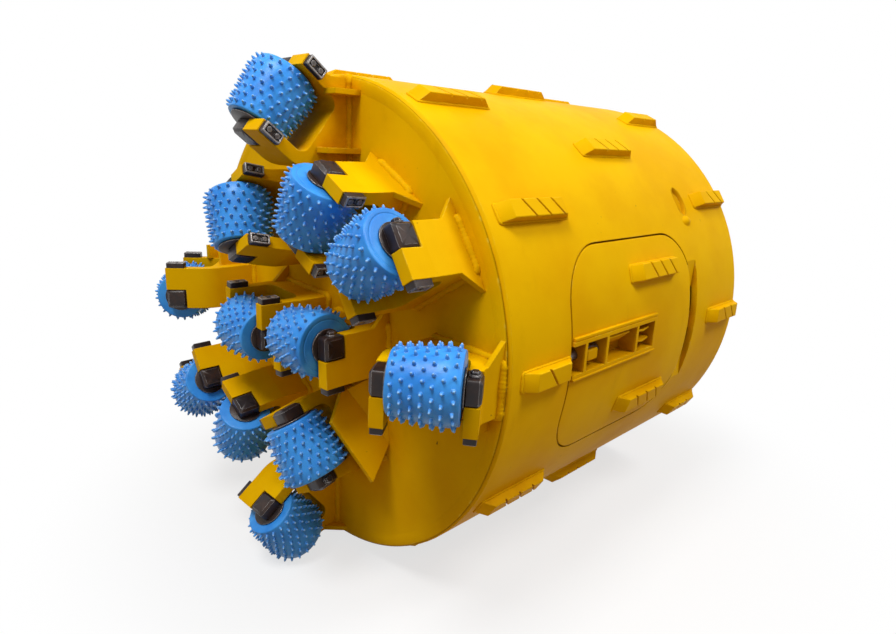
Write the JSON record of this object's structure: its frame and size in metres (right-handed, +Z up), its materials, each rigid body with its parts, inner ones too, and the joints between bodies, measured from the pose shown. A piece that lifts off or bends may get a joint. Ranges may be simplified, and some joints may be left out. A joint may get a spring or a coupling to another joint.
{
  "type": "drilling roller bit",
  "caption": "Full-face roller bit: a hollow drum with conical button rollers in tilted saddles on its cutting face, wear pads, a hinged door and a square drive socket.",
  "frame": {"origin": "where the kelly pin's bore crosses the drum axis", "axes": "+X along the drum axis from the cutting face to the drive end, +Z up as it lies, door towards -Y"},
  "size_m": [1.8775, 1.4638, 1.463],
  "materials": {
    "yellow_paint": "satin",
    "blue_paint": "satin",
    "dark_forging": "oiled",
    "bare_steel": "worn"
  },
  "bodies": {
    "drum": {"drum_shell": "yellow_paint", "face_plate": "yellow_paint", "rear_plate": "yellow_paint", "kelly_box": "yellow_paint", "kelly_ribs": "yellow_paint", "pads_front": "yellow_paint", "pads_middle": "yellow_paint", "pads_rear": "yellow_paint", "hinge_bracket": "yellow_paint", "slot_lip": "yellow_paint", "saddle_01": "yellow_paint", "saddle_02": "yellow_paint", "saddle_03": "yellow_paint", "saddle_04": "yellow_paint", "saddle_05": "yellow_paint", "saddle_06": "yellow_paint", "saddle_07": "yellow_paint", "saddle_08": "yellow_paint", "saddle_09": "yellow_paint", "saddle_10": "yellow_paint", "saddle_11": "yellow_paint", "saddle_12": "yellow_paint", "hinge_pin": "bare_steel", "shafts": "dark_forging", "clamp_blocks": "dark_forging"},
    "door": {"door_panel": "yellow_paint", "door_pads": "yellow_paint", "latch_frame": "yellow_paint", "latch_bolt": "bare_steel", "hinge_straps": "yellow_paint"},
    "roller_01": {"roller_01": "blue_paint"},
    "roller_02": {"roller_02": "blue_paint"},
    "roller_03": {"roller_03": "blue_paint"},
    "roller_04": {"roller_04": "blue_paint"},
    "roller_05": {"roller_05": "blue_paint"},
    "roller_06": {"roller_06": "blue_paint"},
    "roller_07": {"roller_07": "blue_paint"},
    "roller_08": {"roller_08": "blue_paint"},
    "roller_09": {"roller_09": "blue_paint"},
    "roller_10": {"roller_10": "blue_paint"},
    "roller_11": {"roller_11": "blue_paint"},
    "roller_12": {"roller_12": "blue_paint"}
  },
  "joints": [
    {"name": "door_hinge", "type": "hinge", "parent": "drum", "child": "door", "pos_m": [-0.54, -0.67088, -0.01288], "axis": [0, -0.0192, 0.9998], "range_deg": [0, 100]},
    {"name": "roller_01_spin", "type": "hinge", "parent": "drum", "child": "roller_01", "pos_m": [-1.644, -0.00645, 0.61597], "axis": [0.6157, -0.0083, 0.788], "continuous": true},
    {"name": "roller_02_spin", "type": "hinge", "parent": "drum", "child": "roller_02", "pos_m": [-1.665, 0.15417, 0.29742], "axis": [0.2079, 0.4501, 0.8684], "continuous": true},
    {"name": "roller_03_spin", "type": "hinge", "parent": "drum", "child": "roller_03", "pos_m": [-1.652, -0.21023, 0.35549], "axis": [0.0698, -0.5078, 0.8586], "continuous": true},
    {"name": "roller_04_spin", "type": "hinge", "parent": "drum", "child": "roller_04", "pos_m": [-1.65, -0.43958, 0.26832], "axis": [0.0698, -0.8515, 0.5197], "continuous": true},
    {"name": "roller_05_spin", "type": "hinge", "parent": "drum", "child": "roller_05", "pos_m": [-1.644, 0.61597, 0.00645], "axis": [0.6157, 0.788, 0.0083], "continuous": true},
    {"name": "roller_06_spin", "type": "hinge", "parent": "drum", "child": "roller_06", "pos_m": [-1.652, 0.13239, -0.02073], "axis": [0.0523, 0.9972, 0.054], "continuous": true},
    {"name": "roller_07_spin", "type": "hinge", "parent": "drum", "child": "roller_07", "pos_m": [-1.652, -0.16162, 0.01102], "axis": [0.0523, -0.9985, 0.0157], "continuous": true},
    {"name": "roller_08_spin", "type": "hinge", "parent": "drum", "child": "roller_08", "pos_m": [-1.644, -0.61582, 0.01505], "axis": [0.6157, -0.7872, -0.0357], "continuous": true},
    {"name": "roller_09_spin", "type": "hinge", "parent": "drum", "child": "roller_09", "pos_m": [-1.674, 0.461, -0.29256], "axis": [0.1045, 0.8397, -0.5329], "continuous": true},
    {"name": "roller_10_spin", "type": "hinge", "parent": "drum", "child": "roller_10", "pos_m": [-1.66, 0.21125, -0.35721], "axis": [0.1564, 0.5028, -0.8501], "continuous": true},
    {"name": "roller_11_spin", "type": "hinge", "parent": "drum", "child": "roller_11", "pos_m": [-1.665, -0.15417, -0.29742], "axis": [0.2079, -0.4501, -0.8684], "continuous": true},
    {"name": "roller_12_spin", "type": "hinge", "parent": "drum", "child": "roller_12", "pos_m": [-1.644, 0.00645, -0.61597], "axis": [0.6157, 0.0083, -0.788], "continuous": true}
  ]
}
